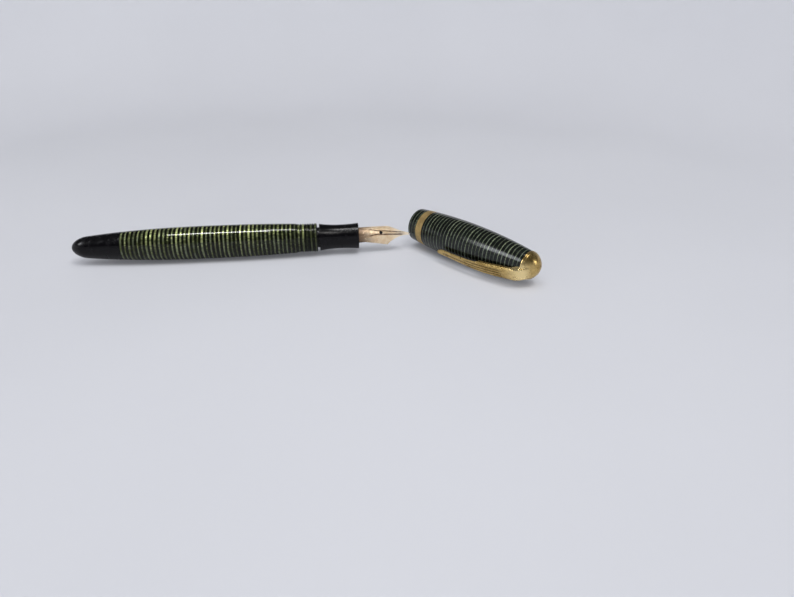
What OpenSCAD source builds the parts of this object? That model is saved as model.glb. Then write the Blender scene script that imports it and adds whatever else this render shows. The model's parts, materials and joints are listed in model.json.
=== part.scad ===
// Button-filling fountain pen, lying uncapped with its cap beside the nib.
// All lengths are in millimetres. The pen lies along +X, tail to nib, with +Z up
// and the surface it rests on at z = 0.

/* [Pen] */
// Length of the uncapped pen, from the tail to the writing point
pen_length = 125.6; // [124.6:0.1:126.2]
// Greatest radius of the barrel
barrel_r = 6.17; // [6:0.01:6.3]
// Distance of the fattest part of the barrel from the tail
belly_x = 50; // [48:0.5:52]
// Radius of the barrel where the blind cap meets it
barrel_tail_r = 5.2; // [5.1:0.01:5.3]
// Radius of the barrel at the shoulder behind the cap thread
barrel_front_r = 5.55; // [5.5:0.01:5.65]
// Distance from the tail to the seam of the blind cap
blind_cap_length = 18.2; // [17.5:0.05:18.5]
// Distance from the tail to the shoulder that the closed cap meets
shoulder_x = 82; // [81.6:0.1:82.6]
// Distance from the tail to the open end of the barrel
barrel_end_x = 89.8; // [89.6:0.1:90]
// Gap left between the barrel and the section, which isn't pushed home
seat_gap = 0.8; // [0.1:0.1:1]
// Radius over the crests of the cap thread
thread_r = 5.42; // [5.38:0.01:5.44]
// Pitch of the cap thread
thread_pitch = 0.9; // [0.8:0.05:1]
// Radius of the barrel's bore
barrel_bore_r = 4.35; // [4.3:0.01:4.4]
// Radial play between the section's plug and the barrel's bore
plug_play = 0.05; // [0.03:0.01:0.08]

/* [Section and nib] */
// Distance from the tail to the front face of the section
section_front_x = 105.4; // [105:0.1:106]
// Least radius of the section's concave grip
grip_r = 4.51; // [4.4:0.01:4.6]
// Radius of the section's nib socket
socket_r = 3.12; // [3.1:0.01:3.2]
// Thickness of the nib's sheet
nib_sheet = 0.3; // [0.2:0.05:0.35]
// Half the width of the nib at its shoulders
nib_half_width = 3.8; // [3.5:0.05:3.85]
// Distance from the tail to the nib's shoulders
nib_shoulder_x = 116.45; // [116:0.05:117]
// Radius of the breather hole
breather_r = 0.65; // [0.4:0.05:0.7]
// Width of the slit
slit_width = 0.12; // [0.08:0.01:0.2]
// Angle of the nib's face above the horizontal, on the side of the clip
nib_face_angle = 42; // [20:1:60]
// Outer radius of the ink sac
sac_r = 3.1; // [2.9:0.05:3.15]

/* [Filler] */
// Travel of the filler button
button_travel = 5.5; // [4:0.5:5.5]
// Radius of the filler button
button_r = 2.3; // [2:0.05:2.35]
// Radius of the threaded bush that carries the blind cap
bush_r = 3.6; // [3.5:0.05:3.65]

/* [Cap] */
// Greatest radius of the cap
cap_r = 7.34; // [7.2:0.01:7.4]
// Distance of the cap's fattest part from its mouth
cap_belly_s = 21.5; // [20:0.5:23]
// Radius of the arc that the cap's side follows
cap_side_arc = 212; // [200:1:240]
// Length of the striped part of the cap
cap_shell_length = 52.5; // [52:0.1:53]
// Height of the metal dome on the end of the cap
dome_height = 4.7; // [4:0.05:4.8]
// Radius of the metal dome
dome_r = 5.2; // [5.1:0.05:5.3]
// Radius of the cap's mouth
mouth_r = 5.5; // [5.48:0.01:5.55]
// Distance from the mouth to the near edge of the band
band_start = 4.4; // [4:0.1:5]
// Width of the band
band_width = 3.2; // [2.8:0.1:3.4]

/* [Clip] */
// Angle of the clip below the horizontal, as the cap lies
clip_turn = 20; // [15:1:45]
// Distance from the cap's mouth to the tip of the clip
clip_tip_s = 18.5; // [17:0.1:20]
// Thickness of the clip's sheet
clip_sheet = 0.8; // [0.6:0.05:0.9]
// Half the width of the clip at its tip
clip_tip_half_width = 1.3; // [1:0.05:1.4]
// Half the width of the clip at its root
clip_root_half_width = 2.3; // [1.9:0.05:2.4]

/* [Layout] */
// Distance from the pen's tail to the origin
origin_x = 83.1; // [82:0.02:84]
// Distance from the origin to the pen's axis, across the pen
pen_y = 15.77; // [15.5:0.01:17]
// Place of the cap's mouth along the pen
mouth_x = 129.77; // [129:0.01:131]
// Place of the cap's mouth across the pen
mouth_y = 5.75; // [5:0.05:7]
// Height of the cap's axis at its mouth
mouth_z = 7.53; // [7.5:0.01:7.7]
// Angle between the cap and the pen, seen from above
cap_yaw = -52.9; // [-60:0.1:-45]
// Angle by which the cap's axis falls towards its dome
cap_fall = 0.48; // [0:0.02:0.6]

/* [Hidden] */
$fn = 96;
pen_z = barrel_r;
section_rear_x = barrel_end_x + seat_gap;
nose_length = 5.4;
barrel_tail_power = 2.2;
barrel_front_power = 2.3;
neck_r = 3.85;
plug_r = barrel_bore_r - plug_play;
plug_rear_x = section_rear_x - 8.4;
sac_nipple_r = 2.7;
sac_nipple_rear_x = plug_rear_x - 4.6;
sac_rear_x = 34;
thread_depth = 0.26;
button_rear_x = 5.2;
bush_rear_x = 11;
bush_front_x = 24.4;
main_bore_x = 24.6;
rear_socket_r = bush_r + 0.02;
nib_r = socket_r - 0.02;
nib_rear_x = 88.5;
breather_x = 113.95;
nib_drop = 3.25;
nib_tip_half_width = 0.42;
nib_tine_power = 1.7;
tipping_r = 0.44;
feed_rear_x = 87.4;
feed_front_x = 119.2;
fin_pitch = 1;
fin_count = 7;
bar_side_r = 3.85;
bar_gauge = 0.25;
rivet_xs = [69.5, 72];
inner_cap_start = 23.5;
inner_cap_end = 45.4;
inner_cap_outer_r = 4.72;
inner_cap_r = 4.1;
washer_end = 47.5;
screw_r = 1.55;
clip_hinge_s = 49.6;
clip_hinge_r = clip_outer_r(clip_hinge_s) - clip_sheet / 2;
hinge_play = 0.05;
dome_power = 1.7;
root_power = 1.88;
root_end_s = 56.4;
flange_start = 37;
flange_sheet = 0.45;
flange_depth = 1;
cap_steps = 42;
barrel_steps = 48;

// Radius of the pen's body at a distance x from the tail
function tail_fall(x) =
    let (rear = belly_x - 2)
    (barrel_r - barrel_tail_r) * pow((rear - x) / (rear - blind_cap_length), barrel_tail_power);
function front_fall(x) =
    (barrel_r - barrel_front_r) * pow((x - belly_x) / (shoulder_x - belly_x), barrel_front_power);
function body_r(x) =
    x < belly_x - 2 ? barrel_r - tail_fall(x) :
    x < belly_x ? barrel_r :
    barrel_r - front_fall(x);
function nose_r(x) =
    body_r(x) * sqrt(max(0, 1 - pow((nose_length - x) / nose_length, 2)));
function pen_r(x) = x < nose_length ? nose_r(x) : body_r(x);
function pen_side(x0, x1, steps) =
    [for (i = [0 : steps]) let (x = x0 + (x1 - x0) * i / steps) [pen_r(x), x]];

// Radius of the cap at a distance s from its mouth
function cap_side_r(s) =
    cap_r - cap_side_arc + sqrt(pow(cap_side_arc, 2) - pow(s - cap_belly_s, 2));
function cap_side(s0, s1, steps) =
    [for (i = [0 : steps]) let (s = s0 + (s1 - s0) * i / steps) [cap_side_r(s), s]];

// Distance of the clip's outer face from the cap's axis
function smooth(t) = let (u = min(1, max(0, t))) u * u * (3 - 2 * u);
function clip_bow(s) = pow(sin(180 * min(1, max(0, (s - 22) / 30))), 1.5);
function clip_lift(s) = 2.02 + 0.62 * clip_bow(s);
function clip_flare(s) = 0.8 * pow(max(0, 20.8 - s) / 3, 2);
function clip_outer_r(s) = cap_side_r(s) + clip_lift(s) + clip_flare(s);
function clip_half_width(s) =
    clip_tip_half_width + (clip_root_half_width - clip_tip_half_width) * smooth((s - clip_tip_s) / 30);

// Solid through a list of closed rings that all have the same number of points,
// each listed clockwise as the last ring's side sees it
module skin(rings) {
    n = len(rings[0]);
    last = len(rings) - 1;
    sides = [
        for (j = [0 : last - 1], i = [0 : n - 1])
            let (k = (i + 1) % n)
            [j * n + i, j * n + k, (j + 1) * n + k, (j + 1) * n + i]
    ];
    first_end = [for (i = [n - 1 : -1 : 0]) i];
    last_end = [for (i = [0 : n - 1]) last * n + i];
    points = [for (ring = rings, point = ring) point];
    polyhedron(points, concat([first_end], sides, [last_end]), convexity = 6);
}

// Frame of the pen: z runs along its axis from the tail, and -x is up
module on_pen() {
    translate([-origin_x, pen_y, pen_z]) rotate([0, 90, 0]) children();
}

// Frame of the nib: as the pen's, with -x normal to the nib's face
module on_nib() {
    on_pen() rotate([0, 0, 90 - nib_face_angle]) children();
}

// Frame of the cap: z runs along its axis from the mouth, and x points at the clip
module on_cap() {
    translate([mouth_x - origin_x, mouth_y + pen_y, mouth_z])
        rotate([0, 0, cap_yaw])
        rotate([0, 90 + cap_fall, 0])
        rotate([0, 0, clip_turn - 90])
        children();
}

// Half the width of the nib, and the radius and height of its outer face
function nib_taper(x) = (x - nib_shoulder_x) / (pen_length - tipping_r - nib_shoulder_x);
function nib_w(x) =
    x < section_front_x ? 2.85 :
    x < nib_shoulder_x ?
        2.85 + (nib_half_width - 2.85) * (x - section_front_x) / (nib_shoulder_x - section_front_x) :
    nib_tip_half_width + (nib_half_width - nib_tip_half_width) * pow(1 - nib_taper(x), nib_tine_power);
function nib_run(x) = max(0, (x - section_front_x) / (pen_length - section_front_x));
function nib_arc_r(x) = nib_r + 1.9 * pow(nib_run(x), 1.2);
function nib_crown(x) = nib_r - nib_drop * pow(nib_run(x), 1.6);
function nib_point(x, q, inset) =
    let (v = nib_w(x) * q, r = nib_arc_r(x))
    let (drop = r - sqrt(pow(r, 2) - pow(v, 2)))
    let (lean = asin(v / r))
    [-(nib_crown(x) - drop - inset * cos(lean)), v - inset * sin(lean), x];
nib_xs = [
    nib_rear_x, 96, 101, section_front_x, 107, 109, 111, 113, 115, 116.1,
    nib_shoulder_x, 116.9, 118, 119.5, 121, 122.5, 123.6, pen_length - tipping_r
];
nib_qs = [for (i = [-8 : 8]) i / 8];

module nib_sheet_solid(top, bottom) {
    skin([
        for (x = nib_xs)
            concat(
                [for (q = nib_qs) nib_point(x, q, top)],
                [for (i = [len(nib_qs) - 1 : -1 : 0]) nib_point(x, nib_qs[i], bottom)]
            )
    ]);
}

module nib() {
    color("#d9a860") on_nib() difference() {
        nib_sheet_solid(0, nib_sheet);
        translate([-4, 0, breather_x]) rotate([0, 90, 0]) cylinder(r = breather_r, h = 4, $fn = 32);
        translate([-4, -slit_width / 2, breather_x]) cube([6, slit_width, 14]);
    }
}

module nib_tipping() {
    color("#dcdde0") on_nib()
        translate([nib_sheet / 2 - nib_crown(pen_length - tipping_r), 0, pen_length - tipping_r + 0.005])
        intersection() {
            sphere(r = tipping_r, $fn = 32);
            translate([-1, -1, 0]) cube([2, 2, 1]);
        }
}

// Feed: its back follows the nib's underside, and its belly rises to a point
function feed_back(x) = nib_crown(x) - nib_sheet - 0.04;
feed_belly_x = section_front_x + 1;
feed_belly = [
    for (i = [0 : 12])
        let (t = 90 * i / 12)
        [2.76 - 3.16 * (1 - cos(t)), feed_belly_x + (feed_front_x - feed_belly_x) * sin(t)]
];

module feed_stem() {
    length = section_front_x - feed_rear_x;
    translate([0, 0, feed_rear_x]) {
        cylinder(r = feed_back(0), h = length);
        intersection() {
            cylinder(r = nib_r, h = length);
            translate([-0.85, -4, -1]) cube([4, 8, length + 2]);
        }
    }
}

module feed_nose() {
    intersection() {
        rotate_extrude() polygon(concat(
            [[0, section_front_x - 0.5]],
            [for (i = [0 : 16])
                let (x = section_front_x - 0.5 + (feed_front_x - section_front_x + 0.5) * i / 16)
                [feed_back(x), x]],
            [[0, feed_front_x]]
        ));
        rotate([90, 0, 0]) linear_extrude(height = 8, center = true) polygon(concat(
            [[-3.2, section_front_x - 0.6], [2.76, section_front_x - 0.6]],
            feed_belly,
            [[-3.2, feed_front_x + 1]]
        ));
    }
}

module feed() {
    color("#1b1b1d") on_nib() difference() {
        union() {
            feed_stem();
            feed_nose();
        }
        translate([-3.4, -0.25, feed_rear_x - 1]) cube([1.3, 0.5, 40]);
        for (i = [0 : fin_count - 1])
            translate([0.5, -4, section_front_x + 1.3 + i * fin_pitch]) cube([4, 8, 0.4]);
    }
}

function grip_side(x) =
    let (waist = 97.9)
    x < waist ? grip_r + 0.64 * pow((waist - x) / (waist - section_rear_x), 2) :
    grip_r + 0.38 * pow((x - waist) / (section_front_x - waist), 2);

module section() {
    steps = 20;
    edge = 0.2;
    color("#141416") on_pen() difference() {
        rotate_extrude() polygon(concat(
            [[0, sac_nipple_rear_x], [sac_nipple_r - 0.3, sac_nipple_rear_x]],
            [[sac_nipple_r, sac_nipple_rear_x + 0.4], [sac_nipple_r, plug_rear_x]],
            [[plug_r - 0.3, plug_rear_x], [plug_r, plug_rear_x + 0.3]],
            [[plug_r, section_rear_x - 1.1], [neck_r, section_rear_x - 0.9]],
            [[neck_r, section_rear_x], [grip_side(section_rear_x) - edge, section_rear_x]],
            [for (i = [0 : steps])
                let (x = section_rear_x + edge + (section_front_x - section_rear_x - 2 * edge) * i / steps)
                [grip_side(x), x]],
            [[grip_side(section_front_x) - edge, section_front_x], [0, section_front_x]]
        ));
        translate([0, 0, feed_rear_x - 0.2]) cylinder(r = socket_r, h = 30);
        translate([0, 0, sac_nipple_rear_x - 1]) cylinder(r = 1.6, h = 20);
    }
}

module ink_sac() {
    wall = 0.35;
    front = plug_rear_x - 0.1;
    color("#2a2623") on_pen() difference() {
        union() {
            translate([0, 0, sac_rear_x + sac_r]) cylinder(r = sac_r, h = front - sac_rear_x - sac_r);
            translate([0, 0, sac_rear_x + sac_r]) sphere(r = sac_r);
        }
        translate([0, 0, sac_rear_x + sac_r]) cylinder(r = sac_r - wall, h = 60);
        translate([0, 0, sac_rear_x + sac_r]) sphere(r = sac_r - wall);
    }
}

module thread_grooves(r, x0, x1, pitch, depth) {
    // Rings that cut the valleys of a thread into a shaft of radius r
    count = floor((x1 - x0) / pitch);
    for (i = [0 : count - 1])
        translate([0, 0, x0 + (i + 0.5) * pitch]) rotate_extrude() polygon([
            [r - depth, -0.06], [r + 0.1, -pitch * 0.36],
            [r + 0.1, pitch * 0.36], [r - depth, 0.06]
        ]);
}

module barrel() {
    color("#3d5a34") on_pen() difference() {
        rotate_extrude() polygon(concat(
            [[0, blind_cap_length]],
            pen_side(blind_cap_length, shoulder_x - 0.15, barrel_steps),
            [[barrel_front_r - 0.15, shoulder_x], [thread_r, shoulder_x]],
            [[thread_r, barrel_end_x - 0.3], [thread_r - 0.3, barrel_end_x], [0, barrel_end_x]]
        ));
        thread_grooves(thread_r, shoulder_x + 0.35, barrel_end_x - 0.3, thread_pitch, thread_depth);
        translate([0, 0, main_bore_x]) cylinder(r = barrel_bore_r, h = 80);
        translate([0, 0, blind_cap_length - 1]) cylinder(r = rear_socket_r, h = 20);
    }
}

module blind_cap() {
    thread_bore_r = bush_r + 0.05;
    color("#0e0e10") on_pen() difference() {
        rotate_extrude() polygon(concat(
            [for (i = [0 : 12]) let (x = nose_length * (1 - cos(90 * i / 12))) [pen_r(x), x]],
            pen_side(nose_length + 0.6, blind_cap_length - 0.03, 20),
            [[0, blind_cap_length - 0.03]]
        ));
        translate([0, 0, 4.6]) cylinder(r = 2.85, h = 20);
        translate([0, 0, bush_rear_x - 0.2]) cylinder(r = thread_bore_r, h = 20);
    }
}

module button_bush() {
    color("#2c2723") on_pen() difference() {
        translate([0, 0, bush_rear_x]) cylinder(r = bush_r, h = bush_front_x - bush_rear_x);
        thread_grooves(bush_r, bush_rear_x + 0.6, blind_cap_length - 0.4, 0.7, 0.18);
        translate([0, 0, bush_rear_x - 1]) cylinder(r = button_r + 0.05, h = 30);
    }
}

module filler_button() {
    head_round = 0.7;
    flange_r = 3;
    color("#c8a25a") on_pen() difference() {
        rotate_extrude() polygon(concat(
            [[0, button_rear_x]],
            [for (i = [0 : 6])
                let (out = sin(15 * i), back = 1 - cos(15 * i))
                [button_r - head_round * (1 - out), button_rear_x + head_round * back]],
            [[button_r, bush_front_x + 0.1], [flange_r, bush_front_x + 0.1]],
            [[flange_r, bush_front_x + 1], [0, bush_front_x + 1]]
        ));
        translate([0, 0, bush_front_x - 4]) cylinder(r = 1.5, h = 10);
    }
}

module bar_outline(path, gauge) {
    // Sheet of one gauge along a path of [radius above the axis, x]
    polygon(concat(
        [for (p = path) [-p[0] - gauge / 2, p[1]]],
        [for (i = [len(path) - 1 : -1 : 0]) [-path[i][0] + gauge / 2, path[i][1]]]
    ));
}

module pressure_bar_strip() {
    path = [[0.3, 24.4], [0.5, 25.8], [2.6, 29.5], [bar_side_r, 32], [bar_side_r, 79], [3.4, 81]];
    color("#a9adb3") on_pen() difference() {
        rotate([90, 0, 0]) linear_extrude(height = 2.4, center = true) bar_outline(path, bar_gauge);
        for (x = rivet_xs)
            translate([-5, 0, x]) rotate([0, 90, 0]) cylinder(r = 0.5, h = 3, $fn = 24);
    }
}

module pressure_bar_shoe() {
    top = bar_side_r - bar_gauge / 2 - 0.01;
    bottom = sac_r + 0.15;
    color("#b9bcc0") on_pen() difference() {
        translate([-top, -1.9, 38]) cube([top - bottom, 3.8, 36]);
        for (x = rivet_xs)
            translate([-5, 0, x]) rotate([0, 90, 0]) cylinder(r = 0.5, h = 3, $fn = 24);
    }
}

module pressure_bar_rivets() {
    color("#b58a4c") on_pen() for (x = rivet_xs) {
        top = bar_side_r + bar_gauge / 2 + 0.16;
        translate([-top, 0, x]) rotate([0, 90, 0]) cylinder(r = 0.8, h = 0.15, $fn = 24);
        translate([-top + 0.05, 0, x]) rotate([0, 90, 0]) cylinder(r = 0.48, h = 0.8, $fn = 24);
    }
}

module cap_shell() {
    lip = 0.45;
    color("#35503a") on_cap() difference() {
        rotate_extrude() polygon(concat(
            [[0, 0]],
            [for (i = [0 : 6])
                [cap_side_r(lip) - lip + lip * sin(15 * i), lip * (1 - cos(15 * i))]],
            cap_side(lip + 0.8, cap_shell_length, cap_steps),
            [[0, cap_shell_length]]
        ));
        translate([0, 0, -1]) cylinder(r = mouth_r, h = inner_cap_start - 0.1 + 1);
        translate([0, 0, -1]) cylinder(r = inner_cap_outer_r + 0.03, h = washer_end + 1);
        translate([0, 0, washer_end - 1]) cylinder(r = screw_r + 0.05, h = 20);
        translate([0, 0, band_start]) difference() {
            cylinder(r = cap_r + 1, h = band_width);
            translate([0, 0, -1]) cylinder(r = cap_side_r(band_start) - 0.45, h = band_width + 2);
        }
    }
}

module cap_band() {
    gap = 0.02;
    s0 = band_start + gap;
    s1 = band_start + band_width - gap;
    seat_r = cap_side_r(band_start) - 0.45 + gap;
    color("#b98c4a") on_cap() rotate_extrude() polygon(concat(
        [[seat_r, s0]], cap_side(s0, s1, 6), [[seat_r, s1]]
    ));
}

module inner_cap() {
    color("#1a1a1c") on_cap() difference() {
        translate([0, 0, inner_cap_start])
            cylinder(r = inner_cap_outer_r, h = inner_cap_end - inner_cap_start);
        translate([0, 0, inner_cap_start - 1])
            cylinder(r = inner_cap_r, h = inner_cap_end - inner_cap_start - 1);
    }
}

// Metal dome, a little more pointed than half an ellipsoid
module dome_solid(grow) {
    steps = 18;
    r = dome_r + grow;
    height = dome_height + grow;
    translate([0, 0, cap_shell_length + 0.02]) rotate_extrude() polygon(concat(
        [[0, -grow], [r, -grow]],
        [for (i = [0 : steps - 1])
            let (a = 90 * i / steps)
            [r * pow(cos(a), 2 / dome_power), height * pow(sin(a), 2 / dome_power)]],
        [[0, height]]
    ));
}

module dome() {
    color("#c9a14e") on_cap() difference() {
        dome_solid(0);
        translate([0, 0, cap_shell_length - 1]) cylinder(r = screw_r + 0.02, h = 3.5);
    }
}

// One ring of the clip's strap: its centre, lean, half width and thickness
function strap_ring(r, s, lean, w, t) = [
    for (p = [[1, -0.5], [1, 0.2], [0.72, 0.46], [0, 0.5], [-0.72, 0.46], [-1, 0.2], [-1, -0.5]])
        [r + p[1] * t * cos(lean), p[0] * w, s + p[1] * t * sin(lean)]
];
function clip_lean(s) = atan2(clip_outer_r(s - 0.5) - clip_outer_r(s + 0.5), 1);

module clip_flange() {
    steps = 8;
    ss = [for (i = [0 : steps]) flange_start + (clip_hinge_s - 1 - flange_start) * i / steps];
    rotate([90, 0, 0]) linear_extrude(height = flange_sheet) polygon(concat(
        [for (s = ss) [clip_outer_r(s) - clip_sheet + 0.1, s]],
        [for (i = [steps : -1 : 0]) [clip_outer_r(ss[i]) - clip_sheet - flange_depth, ss[i]]]
    ));
}

module clip() {
    steps = 26;
    flange_w = clip_half_width(flange_start) - 0.06;
    color("#c9a14e") on_cap() {
        skin([
            for (i = [0 : steps])
                let (s = clip_tip_s + (clip_hinge_s - clip_tip_s) * i / steps)
                strap_ring(
                    clip_outer_r(s) - clip_sheet / 2, s, clip_lean(s), clip_half_width(s), clip_sheet
                )
        ]);
        translate([clip_hinge_r, 0, clip_hinge_s]) rotate([90, 0, 0])
            cylinder(r = clip_sheet / 2 - 0.02, h = 2 * clip_root_half_width - 0.4, center = true,
                $fn = 32);
        translate([0, flange_w, 0]) clip_flange();
        translate([0, flange_sheet - flange_w, 0]) clip_flange();
    }
}

// Outer face of the clip's root, which bends over the side of the dome
function root_u(s) = (s - clip_hinge_s) / (root_end_s - clip_hinge_s);
function root_outer_r(s) = clip_outer_r(clip_hinge_s) * pow(1 - pow(root_u(s), root_power), 1 / root_power);
function root_lean(s) = atan2(root_outer_r(s - 0.05) - root_outer_r(s), 0.05);

module clip_root() {
    steps = 14;
    last_s = root_end_s - 0.5;
    color("#c9a14e") on_cap() difference() {
        skin([
            for (i = [0 : steps])
                let (s = clip_hinge_s + 0.06 + (last_s - clip_hinge_s) * sin(90 * i / steps))
                let (lean = root_lean(s))
                let (inset = clip_sheet / 2)
                strap_ring(root_outer_r(s) - inset * cos(lean), s - inset * sin(lean), lean,
                    clip_root_half_width, clip_sheet)
        ]);
        dome_solid(0.02);
        translate([0, 0, 40]) cylinder(r = dome_r + 0.02, h = cap_shell_length - 40 + 0.1);
        translate([clip_hinge_r, 0, clip_hinge_s]) rotate([90, 0, 0])
            cylinder(r = clip_sheet / 2 + hinge_play, h = 10, center = true, $fn = 32);
    }
}

module clip_screw() {
    color("#9c9fa4") on_cap() {
        translate([0, 0, washer_end - 1.8]) cylinder(r = 2.4, h = 1.1);
        translate([0, 0, washer_end - 0.8])
            cylinder(r = screw_r, h = cap_shell_length + 2.3 - washer_end + 0.8);
    }
}

module clip_washer() {
    color("#a6a9ad") on_cap() difference() {
        translate([0, 0, washer_end - 0.65]) cylinder(r = 3.6, h = 0.6);
        translate([0, 0, washer_end - 2]) cylinder(r = screw_r + 0.05, h = 4);
    }
}

nib();
nib_tipping();
feed();
section();
ink_sac();
barrel();
blind_cap();
button_bush();
filler_button();
pressure_bar_strip();
pressure_bar_shoe();
pressure_bar_rivets();
cap_shell();
cap_band();
inner_cap();
dome();
clip();
clip_root();
clip_screw();
clip_washer();
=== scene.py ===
"""Looks of a button-filling fountain pen that lies uncapped beside its cap.

Outlines are in millimetres and become metres in new_piece(). Three frames hold them:
the pen's, with z along its axis from the tail and x downwards; the nib's, which is the
pen's turned until -x is the normal of the nib's face; and the cap's, with z along its
axis from the mouth and x towards the clip.
"""

import json
import math

import bmesh
import bpy
import numpy as np
from mathutils import Matrix, Vector


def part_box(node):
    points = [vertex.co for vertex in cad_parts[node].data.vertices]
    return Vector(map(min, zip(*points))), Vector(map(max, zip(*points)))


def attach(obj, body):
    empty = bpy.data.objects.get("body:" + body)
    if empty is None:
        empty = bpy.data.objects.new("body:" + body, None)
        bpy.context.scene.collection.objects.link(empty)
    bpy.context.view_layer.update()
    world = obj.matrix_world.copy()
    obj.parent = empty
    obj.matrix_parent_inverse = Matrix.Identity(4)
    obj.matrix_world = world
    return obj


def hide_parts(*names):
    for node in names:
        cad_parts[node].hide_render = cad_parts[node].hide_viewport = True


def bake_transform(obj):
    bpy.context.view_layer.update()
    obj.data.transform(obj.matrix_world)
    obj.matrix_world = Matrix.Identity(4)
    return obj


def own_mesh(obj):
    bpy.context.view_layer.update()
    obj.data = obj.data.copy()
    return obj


MM = 0.001
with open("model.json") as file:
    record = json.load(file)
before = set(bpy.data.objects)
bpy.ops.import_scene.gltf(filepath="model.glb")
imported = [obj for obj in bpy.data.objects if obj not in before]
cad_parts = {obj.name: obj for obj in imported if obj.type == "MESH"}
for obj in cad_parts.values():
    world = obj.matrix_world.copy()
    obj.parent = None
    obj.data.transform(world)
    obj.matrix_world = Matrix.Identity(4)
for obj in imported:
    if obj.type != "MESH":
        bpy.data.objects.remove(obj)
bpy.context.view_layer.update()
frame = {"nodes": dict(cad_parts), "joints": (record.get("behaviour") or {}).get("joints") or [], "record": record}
MOUNTS = {m["name"]: m for m in frame["record"]["mounts"]}
JOINTS = {j["name"]: j for j in frame["joints"]}

# Pen, in mm along its axis from the tail
PEN_LENGTH = 125.6
BARREL_R = 6.17
BELLY_X = 50.0
BELLY_FLAT = 2.0
BARREL_TAIL_R = 5.2
BARREL_TAIL_POWER = 2.2
BARREL_FRONT_R = 5.55
BARREL_FRONT_POWER = 2.3
BLIND_CAP_LENGTH = 18.2
NOSE_LENGTH = 5.4
SHOULDER_X = 82.0
BARREL_END_X = 89.8
SECTION_REAR_X = 90.6
SECTION_FRONT_X = 105.4
THREAD_R = 5.42
THREAD_PITCH = 0.9
THREAD_DEPTH = 0.26
BARREL_BORE_R = 4.35
REAR_SOCKET_R = 3.62
MAIN_BORE_X = 24.6
BUSH_REAR_X = 11.0
BUSH_FRONT_X = 24.4
BUSH_R = 3.6
BUSH_THREAD_PITCH = 0.7
BUSH_THREAD_DEPTH = 0.18
BUTTON_R = 2.3
BUTTON_CHAMBER_R = 2.85
BUTTON_CHAMBER_X = 4.6
GRIP_R = 4.51
GRIP_WAIST_X = 97.9
GRIP_REAR_FLARE = 0.64
GRIP_FRONT_FLARE = 0.38
PLUG_LENGTH = 8.4
NECK_R = 3.85
NIPPLE_R = 2.7
NIPPLE_LENGTH = 4.6
INK_CHANNEL_R = 1.6
SOCKET_R = 3.12
FEED_REAR_X = 87.4
NIB_REAR_X = 88.5
NIB_R = 3.1
NIB_SHEET = 0.3
NIB_SHOULDER_X = 116.45
NIB_REAR_HALF_WIDTH = 2.85
NIB_HALF_WIDTH = 3.8
NIB_DROP = 3.25
NIB_DROP_POWER = 1.6
NIB_FLATTENING = 1.9
NIB_FLATTENING_POWER = 1.2
NIB_TIP_HALF_WIDTH = 0.42
NIB_TINE_POWER = 1.7
SLIT_HALF_WIDTH = 0.035
SPINE_AT_HOLE = 0.72
SPINE_FRONT = 9.5
SPINE_FRONT_TAPER = 0.3
SPINE_REAR = 7.0
SPINE_REAR_FLARE = 0.95
BREATHER_X = 113.95
BREATHER_R = 0.65
TIPPING_R = 0.44
NIB_FACE_ANGLE = 42.0
SAC_R = 3.1
SAC_REAR_X = 34.0
SAC_COLLAR_LENGTH = 5.0
STRIP_HEIGHT = 3.85
STRIP_HALF_WIDTH = 1.15
STRIP_SHEET = 0.25
STRIP_HOOK_X = 24.4
STRIP_WALL_X = 33.0
STRIP_MIDDLE_X = 56.0
STRIP_FRONT_WALL_X = 79.0

# Cap, in mm along its axis from the mouth
CAP_R = 7.34
CAP_BELLY_S = 21.5
CAP_SIDE_ARC = 212.0
CAP_SHELL_LENGTH = 52.5
MOUTH_R = 5.5
MOUTH_LIP = 0.45
MOUTH_THREAD = (1.6, 6.8)
MOUTH_THREAD_DEPTH = 0.16
INNER_BORE_R = 4.75
SCREW_HOLE_R = 1.6
BAND_START = 4.4
BAND_WIDTH = 3.2
BAND_BED = 0.45
BAND_LATTICE = 44
DOME_R = 5.2
DOME_HEIGHT = 4.7
DOME_POWER = 1.7
CLIP_TIP_S = 18.5
CLIP_HINGE_S = 49.6
CLIP_SHEET = 0.8
CLIP_STAND = 2.02
CLIP_BOW = 0.62
CLIP_TIP_HALF_WIDTH = 1.3
CLIP_ROOT_HALF_WIDTH = 2.3
CLIP_ROOT_END_S = 56.4
CLIP_ROOT_POWER = 1.88
CLIP_LIP = (36.4, 52.9)
FRONT_FLUTE = (19.5, 34.0)
FRONT_FLUTE_FADE = 3.0
REAR_FLUTES = (30.0, 48.5)
REAR_FLUTES_FADE = 3.5
FLUTE_SPACING = 1.05
INNER_CAP_START = 23.5
WASHER_END = 47.5

STRIPE_PITCH = 1.53
SHARP_ANGLE = math.radians(32)
NIB_SHARP_ANGLE = math.radians(50)
TINY = 1e-9

# Camera, from the middle of the arrangement
CAMERA_PLACE = (11.02, -215.15, 98.585)
CAMERA_PITCH = math.radians(27.42)
CAMERA_YAW = math.radians(6.466)
CAMERA_ROLL = math.radians(-0.08)
CAMERA_SENSOR = 36.0
CAMERA_LENS = 29.18


# ------------------------------------ frames


def frame_matrix(x_hint, z_axis, origin):
    """Frame with its z along z_axis and its x as near to x_hint as can be."""
    z = Vector(z_axis).normalized()
    hint = Vector(x_hint)
    x = (hint - z * z.dot(hint)).normalized()
    y = z.cross(x)
    turned = Matrix((x, y, z)).transposed().to_4x4()
    return Matrix.Translation(Vector(origin)) @ turned


def pen_frame():
    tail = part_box("blind_cap")[0].x
    low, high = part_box("barrel")
    middle = (low + high) / 2
    return frame_matrix((0, 0, -1), (1, 0, 0), (tail, middle.y, middle.z))


def cap_frame():
    mouth = MOUNTS["cap_mouth"]
    outward = Vector(mouth["axis"])
    centre = Vector(mouth["pos_m"]) + outward * mouth["dims"]["length_mm"] / 2 * MM
    to_clip = Vector(JOINTS["clip_flex"]["pos_m"]) - centre
    return frame_matrix(to_clip, -outward, centre)


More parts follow.
